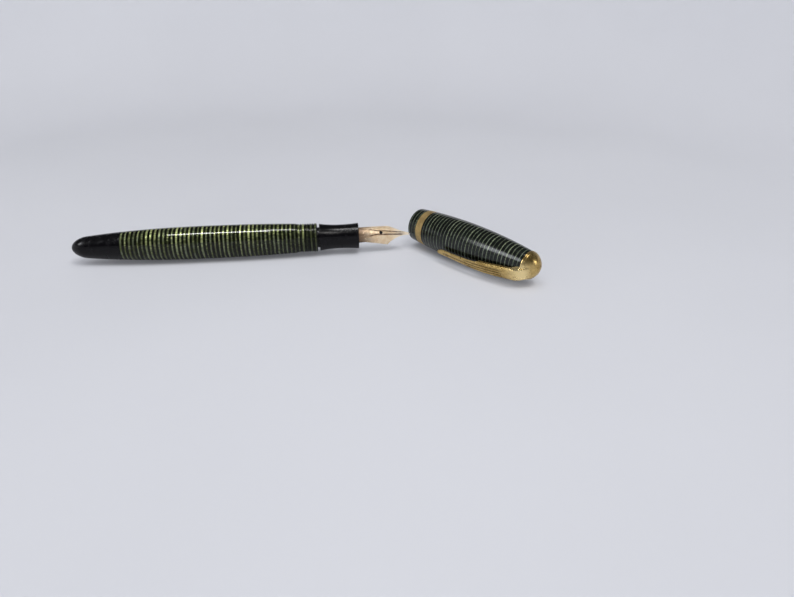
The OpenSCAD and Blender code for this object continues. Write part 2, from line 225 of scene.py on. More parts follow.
ON_PEN = pen_frame()
ON_NIB = ON_PEN @ Matrix.Rotation(math.radians(90 - NIB_FACE_ANGLE), 4, "Z")
ON_CAP = cap_frame()


# ------------------------------------ outlines


def smooth(t):
    u = min(1.0, max(0.0, t))
    return u * u * (3 - 2 * u)


def between(low, high, steps):
    return [low + (high - low) * i / steps for i in range(steps + 1)]


def body_r(x):
    """Radius of the pen's body at x from the tail, without its rounded nose."""
    rear = BELLY_X - BELLY_FLAT
    if x < rear:
        t = (rear - x) / (rear - BLIND_CAP_LENGTH)
        return BARREL_R - (BARREL_R - BARREL_TAIL_R) * t**BARREL_TAIL_POWER
    if x < BELLY_X:
        return BARREL_R
    t = (x - BELLY_X) / (SHOULDER_X - BELLY_X)
    return BARREL_R - (BARREL_R - BARREL_FRONT_R) * t**BARREL_FRONT_POWER


def pen_r(x):
    """Radius of the pen's body with its rounded nose."""
    if x >= NOSE_LENGTH:
        return body_r(x)
    return body_r(x) * math.sqrt(max(0, 1 - ((NOSE_LENGTH - x) / NOSE_LENGTH) ** 2))


def grip_side(x):
    """Radius of the section's concave grip."""
    if x < GRIP_WAIST_X:
        t = (GRIP_WAIST_X - x) / (GRIP_WAIST_X - SECTION_REAR_X)
        return GRIP_R + GRIP_REAR_FLARE * t**2
    t = (x - GRIP_WAIST_X) / (SECTION_FRONT_X - GRIP_WAIST_X)
    return GRIP_R + GRIP_FRONT_FLARE * t**2


def cap_r(s):
    """Radius of the cap at s from its mouth."""
    return CAP_R - CAP_SIDE_ARC + math.sqrt(CAP_SIDE_ARC**2 - (s - CAP_BELLY_S) ** 2)


def soften(outline, radius, closed=True, steps=4):
    """The outline with its corners rounded, so that its edges catch the light."""
    smallest_corner = math.radians(20)
    share_of_side = 0.45
    points = [Vector(p) for p in outline]
    made = []
    for i, p in enumerate(points):
        before = points[i - 1]
        after = points[(i + 1) % len(points)]
        at_end = not closed and i in (0, len(points) - 1)
        if at_end or (p - before).angle(after - p, 0) < smallest_corner:
            made.append(p)
            continue
        shorter_side = min((p - before).length, (after - p).length)
        reach = min(radius, share_of_side * shorter_side)
        start = p + (before - p).normalized() * reach
        end = p + (after - p).normalized() * reach
        for t in between(0, 1, steps):
            made.append(start * (1 - t) ** 2 + p * 2 * t * (1 - t) + end * t * t)
    return [tuple(p) for p in made]


# ------------------------------------ meshes


def new_piece(name, points, faces, place, material, sharp=SHARP_ANGLE):
    """Mesh object from points in mm in a frame. Its own axes are turned to the row's."""
    mesh = bpy.data.meshes.new(name)
    mesh.from_pydata([tuple(c * MM for c in p) for p in points], [], faces)
    shell = bmesh.new()
    shell.from_mesh(mesh)
    bmesh.ops.recalc_face_normals(shell, faces=shell.faces)
    shell.to_mesh(mesh)
    shell.free()
    mesh.transform(place.to_3x3().to_4x4())
    mesh.shade_smooth()
    mesh.set_sharp_from_angle(angle=sharp)
    piece = bpy.data.objects.new(name, mesh)
    bpy.context.scene.collection.objects.link(piece)
    piece.matrix_world = Matrix.Translation(place.translation)
    mesh.materials.append(material)
    return piece


def revolve(name, outline, place, material, segments=160, closed=True, shift=None):
    """Turned piece from (radius, z) points. shift(radius, z, angle) moves a point's radius."""
    points, rings, faces = [], [], []
    for r, z in outline:
        first = len(points)
        if r < 1e-6:
            points.append((0, 0, z))
            rings.append([first] * segments)
            continue
        for k in range(segments):
            a = 2 * math.pi * k / segments
            at = r + (shift(r, z, a) if shift else 0)
            points.append((at * math.cos(a), at * math.sin(a), z))
        rings.append(list(range(first, first + segments)))
    pairs = list(zip(rings, rings[1:]))
    if closed:
        pairs.append((rings[-1], rings[0]))
    for low, high in pairs:
        for k in range(segments):
            n = (k + 1) % segments
            face = list(dict.fromkeys((low[k], low[n], high[n], high[k])))
            if len(face) > 2:
                faces.append(face)
    return new_piece(name, points, faces, place, material)


def skin(rings):
    """Points and faces of a closed solid through rings that have the same number of points."""
    count = len(rings[0])
    points = [p for ring in rings for p in ring]
    faces = [list(range(count))[::-1], [(len(rings) - 1) * count + i for i in range(count)]]
    for j in range(len(rings) - 1):
        for i in range(count):
            k = (i + 1) % count
            faces.append((j * count + i, j * count + k, (j + 1) * count + k, (j + 1) * count + i))
    return points, faces


def join_solids(solids):
    """One list of points and faces from several."""
    points, faces = [], []
    for more_points, more_faces in solids:
        start = len(points)
        points += more_points
        faces += [[i + start for i in face] for face in more_faces]
    return points, faces


def screw_thread(first, last, pitch, depth, crest_r):
    """Radius change of a helical thread cut into a surface of radius crest_r."""

    half_crest, flank, tolerance = 0.14, 0.3, 0.02

    def shift(r, z, angle):
        if abs(r - crest_r) > tolerance or not first < z < last:
            return 0
        turn = (z / pitch - angle / (2 * math.pi)) % 1
        cut = smooth((abs(turn - 0.5) - half_crest) / flank)
        fade = min(smooth((z - first) / pitch), smooth((last - z) / pitch))
        return -depth * cut * fade

    return shift


# ------------------------------------ materials


class Finish:
    """A material's node tree, with short calls for what the finishes share."""

    def __init__(self, name, place=None, blended=False, **constants):
        self.material = bpy.data.materials.new(name)
        self.material.use_nodes = True
        self.tree = self.material.node_tree
        self.shader = self.tree.nodes["Principled BSDF"]
        for socket, value in constants.items():
            self.shader.inputs[socket.replace("_", " ")].default_value = value
        here = self.tree.nodes.new("ShaderNodeTexCoord")
        turn = self.tree.nodes.new("ShaderNodeMapping")
        self.tree.links.new(here.outputs["Object"], turn.inputs["Vector"])
        if place:
            turn.inputs["Rotation"].default_value = place.to_3x3().transposed().to_euler()
        if blended:
            turn.inputs["Location"].default_value = place.inverted().translation / MM
        turn.inputs["Scale"].default_value = (1 / MM,) * 3
        self.mm = turn.outputs["Vector"]

    def put(self, socket, value):
        if isinstance(value, bpy.types.NodeSocket):
            self.tree.links.new(value, socket)
        else:
            socket.default_value = value

    def stretched(self, *scale):
        node = self.tree.nodes.new("ShaderNodeVectorMath")
        node.operation = "MULTIPLY"
        self.put(node.inputs[0], self.mm)
        self.put(node.inputs[1], scale)
        return node.outputs[0]

    def math(self, operation, *values):
        node = self.tree.nodes.new("ShaderNodeMath")
        node.operation = operation
        for socket, value in zip(node.inputs, values):
            self.put(socket, value)
        return node.outputs[0]

    def plus(self, a, b):
        return self.math("ADD", a, b)

    def minus(self, a, b):
        return self.math("SUBTRACT", a, b)

    def times(self, a, b):
        return self.math("MULTIPLY", a, b)

    def apart(self, a, b):
        return self.math("ABSOLUTE", self.minus(a, b))

    def axis(self, name, vector=None):
        node = self.tree.nodes.new("ShaderNodeSeparateXYZ")
        self.put(node.inputs[0], vector or self.mm)
        return node.outputs[name]

    def combine(self, x, y, z):
        node = self.tree.nodes.new("ShaderNodeCombineXYZ")
        for socket, value in zip(node.inputs, (x, y, z)):
            self.put(socket, value)
        return node.outputs[0]

    def noise(self, scale, vector=None, detail=3.0, roughness=0.5):
        node = self.tree.nodes.new("ShaderNodeTexNoise")
        self.put(node.inputs["Vector"], vector or self.mm)
        node.inputs["Scale"].default_value = scale
        node.inputs["Detail"].default_value = detail
        node.inputs["Roughness"].default_value = roughness
        return node.outputs["Fac"]

    def random(self, value):
        node = self.tree.nodes.new("ShaderNodeTexWhiteNoise")
        node.noise_dimensions = "1D"
        self.put(node.inputs["W"], value)
        return node.outputs["Value"]

    def spread(self, value, low, high, to_low=0.0, to_high=1.0):
        """Smooth step of value from low..high to to_low..to_high."""
        node = self.tree.nodes.new("ShaderNodeMapRange")
        node.interpolation_type = "SMOOTHSTEP"
        for socket, given in zip(node.inputs, (value, low, high, to_low, to_high)):
            self.put(socket, given)
        return node.outputs["Result"]

    def window(self, value, low, high, fade_in, fade_out):
        """1 from low to high, with a smooth fade inside each end."""
        rising = self.spread(value, low, low + fade_in)
        return self.times(rising, self.spread(value, high - fade_out, high, 1.0, 0.0))

    def mix(self, factor, a, b):
        node = self.tree.nodes.new("ShaderNodeMix")
        node.data_type = "RGBA"
        self.put(node.inputs[0], factor)
        for socket, value in zip(node.inputs[6:8], (a, b)):
            self.put(socket, value if isinstance(value, bpy.types.NodeSocket) else (*value, 1))
        return node.outputs[2]

    def bump(self, height, distance, strength=1.0):
        node = self.tree.nodes.new("ShaderNodeBump")
        node.inputs["Distance"].default_value = distance * MM
        node.inputs["Strength"].default_value = strength
        self.put(node.inputs["Height"], height)
        return node.outputs["Normal"]

    def color(self, value):
        self.put(self.shader.inputs["Base Color"], value)

    def roughness(self, value):
        self.put(self.shader.inputs["Roughness"], value)

    def normal(self, value):
        self.put(self.shader.inputs["Normal"], value)

    def metallic(self, value):
        self.put(self.shader.inputs["Metallic"], value)


def laminated_celluloid(name, place, first_line, width, polish, index, **colors):
    """Polished celluloid laid up in thin black and pearly discs, one line to each pitch."""
    coat = {"Coat_Weight": 1.0, "Coat_Roughness": polish, "Coat_IOR": index}
    f = Finish(name, place, **coat, Specular_IOR_Level=0.0)
    dark, dull, bright = colors["dark"], colors["dull"], colors["bright"]
    along = f.axis("Z")
    drift = f.times(f.minus(f.noise(0.22, detail=1.0), 0.5), 0.34)
    drifted = f.plus(along, drift)
    turns = f.math("DIVIDE", f.minus(drifted, first_line), STRIPE_PITCH)
    line = f.math("ROUND", turns)
    away = f.times(f.apart(turns, line), STRIPE_PITCH)
    chance = f.random(line)
    chance_b = f.random(f.plus(line, 71.3))
    chance_c = f.random(f.plus(line, 13.9))
    # Each line has its own pearl pattern round the pen
    x, y = f.axis("X"), f.axis("Y")
    own = f.combine(x, y, f.times(line, 5.7))
    patches = f.noise(0.42, own, detail=2.0)
    flecks = f.noise(1.9, own, detail=3.0, roughness=0.65)
    ragged = f.times(f.minus(f.noise(2.6, detail=2.0), 0.5), 0.2)
    half = f.plus(f.spread(chance, 0.0, 1.0, *width), ragged)
    on_line = f.spread(f.minus(away, half), -0.05, 0.05, 1.0, 0.0)
    tone = f.mix(f.spread(patches, 0.38, 0.64), dull, colors["grey"])
    level = f.plus(f.times(chance_b, 0.26), flecks)
    # Painted highlight: the pearl lines are painted brighter where the surface faces up, standing in for light
    # from above
    facing = f.tree.nodes.new("ShaderNodeNewGeometry").outputs["Normal"]
    painted_top_light = f.spread(f.axis("Z", facing), -0.1, 0.85, 0.2, 1.0)
    tone = f.mix(f.times(f.spread(level, 0.54, 0.78), painted_top_light), tone, bright)
    # Some lines are smoky, and all are dull where the cap screws over them
    smoky = f.spread(chance_c, 0.35, 1.0, 0.0, 0.5)
    threaded = f.spread(along, SHOULDER_X - 0.4, SHOULDER_X + 0.6, 0.0, 0.35)
    tone = f.mix(f.plus(smoky, threaded), tone, dark)
    smoke = f.mix(f.spread(f.noise(0.7, detail=2.0), 0.35, 0.7), dark, colors["haze"])
    f.color(f.mix(on_line, smoke, tone))
    f.metallic(f.times(on_line, 0.35))
    f.roughness(f.spread(on_line, 0.0, 1.0, 0.5, 0.34))
    f.normal(f.bump(f.times(flecks, on_line), 0.09, 0.6))
    return f.material


def hard_rubber(name, place, color, low=0.16, high=0.34, scratches=0.004):
    """Polished black rubber or plastic with handling haze and fine scratches."""
    f = Finish(name, place, Specular_IOR_Level=0.2)
    haze = f.noise(0.5, detail=4.0, roughness=0.6)
    grain = f.noise(5.0, detail=2.0)
    lighter = tuple(c * 1.7 + 0.001 for c in color)
    f.color(f.mix(f.spread(haze, 0.45, 0.8), color, lighter))
    dullness = f.plus(haze, f.times(grain, 0.3))
    f.roughness(f.spread(dullness, 0.45, 0.95, low, high))
    streaks = f.noise(3.0, f.stretched(1.0, 1.0, 0.12), detail=3.0)
    f.normal(f.bump(streaks, scratches, 0.6))
    return f.material


def worn_gold(name, place, colors, rough=(0.17, 0.3), pits=1.0, metallic=1.0, flutes=False):
    """Gold plate or brass with soft wear, dull patches and a few dark pits. colors are its
    bright, middle and tarnished tones. flutes adds the clip's tarnished lines and a painted
    highlight where the clip bends over the dome."""
    f = Finish(name, place, blended=flutes, Metallic=metallic)
    bright, middle_tone, tarnish = colors
    patches = f.noise(0.3, detail=3.0, roughness=0.5)
    fine = f.noise(1.6, detail=3.0, roughness=0.55)
    spots = f.noise(1.25, detail=1.0, roughness=0.4)
    spotted = f.times(f.spread(spots, 0.7, 0.76), pits)
    tone = f.mix(f.spread(patches, 0.36, 0.66), middle_tone, bright)
    tone = f.mix(f.times(f.spread(fine, 0.5, 0.8), 0.35), tone, tarnish)
    if flutes:
        outward, across, along = f.axis("X"), f.math("ABSOLUTE", f.axis("Y")), f.axis("Z")
        # Painted highlight: paler where the clip bends over the dome, standing in for the bright floor it reflects
        at_bend = f.spread(along, CLIP_HINGE_S - 2.1, CLIP_HINGE_S + 4.9)
        bend_highlight = f.times(at_bend, f.spread(outward, 2.0, 5.5))
        tone = f.mix(bend_highlight, tone, (0.96, 0.76, 0.38))
        # Dirt in the middle flute, and nearer the dome in the two beside it
        middle = f.spread(across, 0.12, 0.36, 1.0, 0.0)
        beside = f.apart(across, FLUTE_SPACING)
        outer = f.spread(beside, 0.1, 0.34, 1.0, 0.0)
        rear = f.window(along, *REAR_FLUTES, REAR_FLUTES_FADE, REAR_FLUTES_FADE)
        front = f.window(along, FRONT_FLUTE[0] + 1.0, FRONT_FLUTE[1], 2.0, FRONT_FLUTE_FADE)
        rear = f.times(f.math("MAXIMUM", middle, outer), rear)
        line = f.math("MAXIMUM", rear, f.times(middle, front))
        pressed = f.times(f.times(line, f.spread(outward, 6.5, 7.5)), 0.72)
        spotted = f.math("MAXIMUM", spotted, pressed)
    f.color(f.mix(spotted, tone, tarnish))
    dullness = f.plus(f.times(patches, 0.6), f.times(fine, 0.4))
    f.roughness(f.spread(dullness, 0.35, 0.7, *rough))
    f.normal(f.bump(f.noise(0.8, detail=1.0), 0.012, 0.6))
    return f.material


def stamped_gold(name, place):
    """Nib gold, stained with ink near the section and painted paler towards its point."""
    f = Finish(name, place, Metallic=0.45)
    along = f.axis("Z")
    patches = f.noise(0.7, detail=4.0, roughness=0.6)
    fine = f.noise(4.0, detail=3.0)
    tone = f.mix(f.spread(patches, 0.35, 0.65), (0.84, 0.62, 0.38), (0.94, 0.76, 0.54))
    # Painted highlight: the gold turns paler towards the point
    tone = f.mix(f.spread(along, 117.0, 122.0), tone, (1.0, 0.88, 0.70))
    near = f.spread(along, SECTION_FRONT_X + 0.5, SECTION_FRONT_X + 8.0, 1.0, 0.0)
    blot = f.noise(1.1, detail=3.0, roughness=0.6)
    wet = f.plus(blot, f.times(near, 0.2))
    stain = f.times(near, f.spread(wet, 0.44, 0.62))
    # Darker along the two pressed lines beside the spine
    ahead = f.spread(along, BREATHER_X, BREATHER_X + SPINE_FRONT, 0.0, -SPINE_FRONT_TAPER)
    behind = f.spread(along, BREATHER_X - SPINE_REAR, BREATHER_X, SPINE_REAR_FLARE, 0.0)
    edge = f.plus(f.plus(ahead, behind), SPINE_AT_HOLE)
    off = f.apart(f.math("ABSOLUTE", f.axis("Y")), edge)
    on_edge = f.spread(off, 0.1, 0.42, 1.0, 0.0)
    dark_lines = f.times(on_edge, f.spread(blot, 0.3, 0.6, 0.6, 1.0))
    ends = f.window(along, 107.5, 124.0, 3.0, 2.5)
    dark = f.math("MAXIMUM", f.times(stain, 0.85), f.times(dark_lines, ends))
    f.color(f.mix(dark, tone, (0.11, 0.05, 0.022)))
    worn = f.spread(patches, 0.3, 0.7, 0.28, 0.36)
    f.roughness(f.plus(worn, f.times(stain, 0.15)))
    f.normal(f.bump(f.plus(fine, patches), 0.008, 0.5))
    return f.material


def plain_metal(name, color, darker, low, high):
    """Steel or iridium with a brushed grain."""
    f = Finish(name, Metallic=1.0)
    grain = f.noise(6.0, f.stretched(1.0, 1.0, 0.1), detail=3.0)
    cloud = f.noise(0.8, detail=3.0)
    f.color(f.mix(f.spread(cloud, 0.35, 0.7), color, darker))
    f.roughness(f.spread(f.plus(grain, cloud), 0.7, 1.3, low, high))
    f.normal(f.bump(grain, 0.01, 0.6))
    return f.material


def latex(name):
    """Dull black rubber of the ink sac, dusted with talc."""
    f = Finish(name, Roughness=0.7, Sheen_Weight=0.25, Sheen_Roughness=0.5)
    dust = f.noise(1.1, detail=5.0, roughness=0.7)
    grain = f.noise(7.0, detail=3.0)
    f.color(f.mix(f.spread(dust, 0.5, 0.75), (0.022, 0.020, 0.018), (0.085, 0.08, 0.074)))
    f.normal(f.bump(f.plus(grain, dust), 0.03, 0.7))
    return f.material


def paper(name):
    """Pale smooth surface with a painted contact shadow, darker close to where something touches it."""
    f = Finish(name, Roughness=0.55, Specular_IOR_Level=0.25)
    cloud = f.noise(0.006, detail=2.0)
    # Painted contact shadow: ambient occlusion within 3.5 mm darkens the colour towards near black
    near = f.tree.nodes.new("ShaderNodeAmbientOcclusion")
    near.inputs["Distance"].default_value = 3.5 * MM
    plain = f.mix(f.spread(cloud, 0.3, 0.7), (0.60, 0.61, 0.65), (0.62, 0.63, 0.67))
    f.color(f.mix(f.spread(near.outputs["AO"], 0.0, 0.9, 0.75, 0.0), plain, (0.05, 0.05, 0.055)))
    return f.material


BARREL_STRIPE = laminated_celluloid(
    "barrel_celluloid", ON_PEN, 18.75, (0.24, 0.34), 0.05, 1.3,
    dark=(0.003, 0.0035, 0.002), dull=(0.068, 0.08, 0.03), bright=(0.48, 0.53, 0.22),
    grey=(0.12, 0.14, 0.085), haze=(0.010, 0.013, 0.005),
)
CAP_STRIPE = laminated_celluloid(
    "cap_celluloid", ON_CAP, 0.9, (0.14, 0.21), 0.2, 1.38,
    dark=(0.003, 0.0035, 0.0035), dull=(0.06, 0.075, 0.045), bright=(0.24, 0.27, 0.17),
    grey=(0.13, 0.155, 0.115), haze=(0.008, 0.012, 0.008),
)
BLACK_RUBBER = hard_rubber("polished_black_rubber", ON_PEN, (0.0022, 0.0020, 0.0027))
DULL_RUBBER = hard_rubber("turned_black_rubber", ON_PEN, (0.009, 0.009, 0.010), 0.4, 0.6, 0.02)
TRIM_GOLD = worn_gold(
    "worn_gold_trim", ON_CAP, [(0.60, 0.43, 0.17), (0.40, 0.27, 0.09), (0.07, 0.04, 0.014)],
    rough=(0.24, 0.36), metallic=0.92, flutes=True,
)
BAND_GOLD = worn_gold(
    "worn_gold_band", ON_CAP, [(0.52, 0.37, 0.15), (0.38, 0.26, 0.10), (0.10, 0.06, 0.025)],
    rough=(0.3, 0.5), pits=0.5, metallic=0.65,
)
NIB_GOLD = stamped_gold("nib_gold", ON_NIB)
TIPPING = plain_metal("iridium", (0.86, 0.87, 0.88), (0.7, 0.7, 0.72), 0.12, 0.3)
BUTTON_BRASS = worn_gold(
    "turned_brass", ON_PEN, [(0.78, 0.60, 0.30), (0.62, 0.45, 0.2), (0.25, 0.16, 0.07)],
)
SPRING_STEEL = plain_metal("spring_steel", (0.55, 0.56, 0.58), (0.36, 0.35, 0.35), 0.22, 0.45)
SCREW_STEEL = plain_metal("turned_steel", (0.5, 0.51, 0.53), (0.33, 0.32, 0.32), 0.3, 0.5)
SAC_RUBBER = latex("sac_rubber")


# ------------------------------------ pen


def barrel_tube():
    """Barrel with its cap thread, its bore and the narrower socket of the bush."""
    wall = [(pen_r(x), x) for x in between(BLIND_CAP_LENGTH, SHOULDER_X, 90)]
    threads = [(THREAD_R, x) for x in between(SHOULDER_X + 0.12, BARREL_END_X - 0.3, 84)]
    ends = [
        (THREAD_R - 0.3, BARREL_END_X), (BARREL_BORE_R, BARREL_END_X), (BARREL_BORE_R, MAIN_BORE_X),
        (REAR_SOCKET_R, MAIN_BORE_X), (REAR_SOCKET_R, BLIND_CAP_LENGTH),
    ]
    outline = soften(wall + [(THREAD_R, SHOULDER_X)] + threads + ends, 0.09)
    cut = screw_thread(SHOULDER_X + 0.2, BARREL_END_X - 0.1, THREAD_PITCH, THREAD_DEPTH, THREAD_R)
    piece = revolve("barrel_tube", outline, ON_PEN, BARREL_STRIPE, shift=cut)
    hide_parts("barrel")
    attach(piece, "barrel")


def blind_cap_turned():
    """Blind cap, hollow over the bush and over the button."""
    rim_x, bore_r, step_x = BLIND_CAP_LENGTH - 0.03, BUSH_R + 0.05, BUSH_REAR_X - 0.2
    nose_rows = [NOSE_LENGTH * (1 - math.cos(a)) for a in between(0, math.pi / 2, 24)]
    nose = [(pen_r(x), x) for x in nose_rows]
    side = [(pen_r(x), x) for x in between(NOSE_LENGTH + 0.4, rim_x, 30)]
    inside = [
        (bore_r, rim_x), (bore_r, step_x), (BUTTON_CHAMBER_R, step_x),
        (BUTTON_CHAMBER_R, BUTTON_CHAMBER_X), (0, BUTTON_CHAMBER_X),
    ]
    outline = soften(nose + side + inside, 0.09, closed=False)
    piece = revolve("blind_cap_turned", outline, ON_PEN, BLACK_RUBBER, closed=False)
    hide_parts("blind_cap")
    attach(piece, "blind_cap")


def section_turned():
    """Section: its grip, its plug and sac nipple behind, and its bores."""
    plug_r = BARREL_BORE_R - 0.05
    plug_rear = SECTION_REAR_X - PLUG_LENGTH
    nipple_rear = plug_rear - NIPPLE_LENGTH
    shank = [
        (INK_CHANNEL_R, nipple_rear), (NIPPLE_R - 0.3, nipple_rear), (NIPPLE_R, nipple_rear + 0.4),
        (NIPPLE_R, plug_rear), (plug_r - 0.3, plug_rear), (plug_r, plug_rear + 0.3),
        (plug_r, SECTION_REAR_X - 1.1), (NECK_R, SECTION_REAR_X - 0.9), (NECK_R, SECTION_REAR_X),
        (grip_side(SECTION_REAR_X), SECTION_REAR_X),
    ]
    grip = [(grip_side(x), x) for x in between(SECTION_REAR_X + 0.5, SECTION_FRONT_X - 0.3, 44)]
    front = [
        (grip_side(SECTION_FRONT_X), SECTION_FRONT_X), (SOCKET_R, SECTION_FRONT_X),
        (SOCKET_R, FEED_REAR_X - 0.2), (INK_CHANNEL_R, FEED_REAR_X - 0.2),
    ]
    piece = revolve("section_turned", soften(shank + grip + front, 0.16), ON_PEN, BLACK_RUBBER)
    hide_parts("section")
    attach(piece, "section_unit")


def nib_half_width(x):
    """Half the width of the nib at x from the tail."""
    if x < SECTION_FRONT_X:
        return NIB_REAR_HALF_WIDTH
    if x < NIB_SHOULDER_X:
        t = (x - SECTION_FRONT_X) / (NIB_SHOULDER_X - SECTION_FRONT_X)
        return NIB_REAR_HALF_WIDTH + (NIB_HALF_WIDTH - NIB_REAR_HALF_WIDTH) * t
    t = (x - NIB_SHOULDER_X) / (PEN_LENGTH - TIPPING_R - NIB_SHOULDER_X)
    hollow = max(0, 1 - t) ** NIB_TINE_POWER
    return NIB_TIP_HALF_WIDTH + (NIB_HALF_WIDTH - NIB_TIP_HALF_WIDTH) * hollow


def nib_run(x):
    """Share of the nib's free length that lies behind x."""
    return max(0, (x - SECTION_FRONT_X) / (PEN_LENGTH - SECTION_FRONT_X))


def nib_crown(x):
    """Height of the nib's middle line over the axis, which falls towards the point."""
    return NIB_R - NIB_DROP * nib_run(x) ** NIB_DROP_POWER


def spine_half_width(x):
    """Half the width of the raised spine between the nib's two pressed lines."""
    if x > BREATHER_X:
        return SPINE_AT_HOLE - SPINE_FRONT_TAPER * smooth((x - BREATHER_X) / SPINE_FRONT)
    return SPINE_AT_HOLE + SPINE_REAR_FLARE * smooth((BREATHER_X - x) / SPINE_REAR)


def bell(t):
    return math.exp(-t * t)


def nib_relief(x, v):
    """Height of the pressed lines and spine above the nib's plain face."""
    first, last = SECTION_FRONT_X + 0.9, PEN_LENGTH - 1.4
    groove_depth = groove_width = 0.16
    spine_height = 0.12
    arc_radii, arc_depth, arc_width = (1.25, 2.0), 0.06, 0.12
    edge = spine_half_width(x)
    shown = smooth((x - first) / 2.2) * smooth((last - x) / 1.6)
    groove = -groove_depth * bell((abs(v) - edge) / groove_width)
    spine = spine_height * smooth((edge - abs(v)) / 0.3)
    # Plain ornament behind the hole: two nested arcs pressed into the spine
    reach = math.hypot(x - BREATHER_X, v)
    behind = smooth((BREATHER_X - 0.2 - x) / 0.6)
    arcs = -arc_depth * behind * sum(bell((reach - radius) / arc_width) for radius in arc_radii)
    return shown * (groove + spine + arcs * smooth((edge - abs(v)) / 0.2))


def nib_rows():
    """Places along the nib, close together where its outline turns."""
    hole = [BREATHER_X - BREATHER_R * math.cos(a) for a in between(0, math.pi, 14)]
    rows = [NIB_REAR_X, 96.0, 102.0, *between(105.0, BREATHER_X - BREATHER_R - 0.2, 26), *hole]
    rows += between(BREATHER_X + BREATHER_R + 0.15, NIB_SHOULDER_X - 0.35, 5)
    rows += [NIB_SHOULDER_X - 0.15, NIB_SHOULDER_X, NIB_SHOULDER_X + 0.2]
    return rows + between(NIB_SHOULDER_X + 0.5, PEN_LENGTH - TIPPING_R, 24)


def nib_inner_edge(x):
    """Where a half of the nib starts: at the middle line, the hole or the slit."""
    gap = SLIT_HALF_WIDTH if x > BREATHER_X else 0.0
    return max(gap, math.sqrt(max(0, BREATHER_R**2 - (x - BREATHER_X) ** 2)))


def nib_point(x, v, inset):
    """Point at x from the tail and v from the middle line, inset under the nib's face."""
    arc = NIB_R + NIB_FLATTENING * nib_run(x) ** NIB_FLATTENING_POWER
    crown = nib_crown(x) + nib_relief(x, v)
    lean = math.asin(v / arc)
    height = crown - (arc - math.sqrt(arc * arc - v * v)) - inset * math.cos(lean)
    return (-height, v - inset * math.sin(lean), x)


def nib_pressed():
    """Nib: two halves that share their middle line behind the breather hole."""
    columns = between(0, 1, 22)
    rows = nib_rows()
    points, faces = [], []
    grid = {}
    for side in (-1, 1):
        for i, x in enumerate(rows):
            start, reach = nib_inner_edge(x), nib_half_width(x)
            for j, t in enumerate(columns):
                for level, inset in enumerate((0.0, NIB_SHEET)):
                    v = side * (start + (reach - start) * t)
                    key = (0 if abs(v) < TINY else side, i, j, level)
                    if key not in grid:
                        grid[key] = len(points)
                        points.append(nib_point(x, v, inset))
    last, outer = len(rows) - 1, len(columns) - 1

    def at(side, i, j, level):
        shared = j == 0 and nib_inner_edge(rows[i]) < TINY
        return grid[(0 if shared else side, i, j, level)]

    for side in (-1, 1):
        for i in range(last):
            for j in range(outer):
                for level in (0, 1):
                    corners = ((i, j), (i + 1, j), (i + 1, j + 1), (i, j + 1))
                    faces.append([at(side, *corner, level) for corner in corners])
            edges = [outer]
            if max(nib_inner_edge(rows[i]), nib_inner_edge(rows[i + 1])) > TINY:
                edges.append(0)
            for j in edges:
                corners = ((i, 0), (i + 1, 0), (i + 1, 1), (i, 1))
                wall = [at(side, row, j, level) for row, level in corners]
                faces.append(list(dict.fromkeys(wall)))
        for i in (0, last):
            for j in range(outer):
                corners = ((j, 0), (j + 1, 0), (j + 1, 1), (j, 1))
                faces.append([at(side, i, column, level) for column, level in corners])
    piece = new_piece("nib_pressed", points, faces, ON_NIB, NIB_GOLD, NIB_SHARP_ANGLE)
    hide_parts("nib")
    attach(piece, "section_unit")


def tipping_halves():
    """Two ground halves of the writing point, one on each tine."""
    half_gap, ground = 0.03, 0.92
    middle_x = PEN_LENGTH - TIPPING_R
    centre = Vector((NIB_SHEET / 2 - nib_crown(middle_x), 0, middle_x))
    solids = []
    for side in (-1, 1):
        rings = []
        for a in between(0.06, math.pi - 0.06, 14):
            ring = []
            for b in between(0, math.pi, 12):
                up = math.cos(b) * math.sin(a) * TIPPING_R
                out = half_gap + ground * abs(math.sin(a) * math.sin(b)) * TIPPING_R
                ring.append(tuple(centre + Vector((up, side * out, -math.cos(a) * TIPPING_R))))
            rings.append(ring)
        solids.append(skin(rings))
    points, faces = join_solids(solids)
    piece = new_piece("tipping_halves", points, faces, ON_NIB, TIPPING)
    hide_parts("nib_tipping")
    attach(piece, "section_unit")


def sac_rubber():
    """Ink sac, stretched over the section's nipple in a collar that stays round."""
    collar_front = SECTION_REAR_X - PLUG_LENGTH - 0.1
    collar_rear = collar_front - SAC_COLLAR_LENGTH
    body_front = collar_rear + 0.6
    nose = [(SAC_R * math.sin(a), SAC_REAR_X + SAC_R * (1 - math.cos(a)))
            for a in between(0, math.pi / 2, 16)]
    side = [(SAC_R - 0.03 * smooth((x - 66) / 8), x)
            for x in between(SAC_REAR_X + SAC_R + 1, body_front, 40)]
    body = nose + side + [(0, body_front)]
    sac = revolve("sac_body", body, ON_PEN, SAC_RUBBER, 96, closed=False)
    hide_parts("ink_sac")
    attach(sac, "section_unit")
    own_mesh(sac)
    outer_r, inner_r, floor_x = SAC_R + 0.06, NIPPLE_R + 0.02, collar_rear + 0.7
    ring = [
        (0, collar_rear), (outer_r, collar_rear), (outer_r, collar_front),
        (inner_r, collar_front), (inner_r, floor_x), (0, floor_x),
    ]
    ring = soften(ring, 0.25, closed=False)
    collar = revolve("sac_collar", ring, ON_PEN, SAC_RUBBER, 96, closed=False)
    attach(collar, "section_unit")


